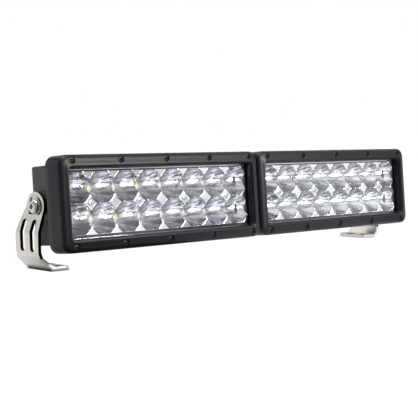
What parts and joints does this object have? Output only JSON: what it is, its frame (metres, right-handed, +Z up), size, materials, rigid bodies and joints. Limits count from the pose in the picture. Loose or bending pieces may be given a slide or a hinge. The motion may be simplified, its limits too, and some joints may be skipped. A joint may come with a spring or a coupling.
{
  "type": "led light bar",
  "caption": "Twin-module double-row LED light bar with black bezels, finned housings and two stainless brackets that let it tilt.",
  "frame": {"origin": "midway between the round bolt holes of the two feet, on the undersides of the feet", "axes": "+X along the bar, the light leaves towards -Y, +Z up"},
  "size_m": [0.5226, 0.088, 0.1109],
  "materials": {
    "black_coat": "aluminium under a satin black powder coat with a fine grain",
    "black_casting": "aluminium under a satin black powder coat with a fine grain",
    "black_screw": "black oxide",
    "clear_lens": "clear polished polycarbonate",
    "black_rubber": "matt moulded rubber",
    "mirror_coat": "metallised plastic, mirror bright",
    "zinc_steel": "zinc plated",
    "white_board": "white solder mask",
    "phosphor": "yellow phosphor under clear silicone",
    "grey_pad": "matt silicone",
    "bare_aluminium": "milled",
    "green_board": "green solder mask",
    "black_parts": "moulded cases",
    "stainless": "polished",
    "brushed_stainless": "fine brushed",
    "black_nylon": "fine moulded grain"
  },
  "bodies": {
    "brackets": {"left_bracket": "brushed_stainless", "right_bracket": "brushed_stainless"},
    "light_head": {"left_bezel": "black_coat", "right_bezel": "black_coat", "left_bezel_screws": "black_screw", "right_bezel_screws": "black_screw", "left_lens": "clear_lens", "right_lens": "clear_lens", "left_lens_gasket": "black_rubber", "right_lens_gasket": "black_rubber", "left_reflector": "mirror_coat", "right_reflector": "mirror_coat", "left_reflector_screws": "zinc_steel", "right_reflector_screws": "zinc_steel", "left_led_board": "white_board", "right_led_board": "white_board", "left_emitters": "phosphor", "right_emitters": "phosphor", "left_board_screws": "zinc_steel", "right_board_screws": "zinc_steel", "left_thermal_pad": "grey_pad", "right_thermal_pad": "grey_pad", "left_mount_plate": "bare_aluminium", "right_mount_plate": "bare_aluminium", "left_plate_screws": "zinc_steel", "right_plate_screws": "zinc_steel", "left_driver_board": "green_board", "right_driver_board": "green_board", "left_driver_parts": "black_parts", "right_driver_parts": "black_parts", "left_housing": "black_casting", "right_housing": "black_casting", "left_pivot_bolt": "stainless", "right_pivot_bolt": "stainless", "left_bolt_washer": "stainless", "right_bolt_washer": "stainless", "left_lock_washer": "stainless", "right_lock_washer": "stainless", "left_pivot_spacer": "stainless", "right_pivot_spacer": "stainless", "joiner_plate": "black_coat", "joiner_bolts": "zinc_steel", "joint_seal": "black_rubber", "link_cable": "black_rubber", "gland_body": "black_nylon", "gland_nut": "black_nylon", "gland_seal": "black_rubber", "breather_vent": "black_nylon"}
  },
  "joints": [
    {"name": "head_tilt", "type": "hinge", "parent": "brackets", "child": "light_head", "pos_m": [0, 0.0085, 0.061], "axis": [-1, 0, 0], "range_deg": [-20, 85]}
  ]
}
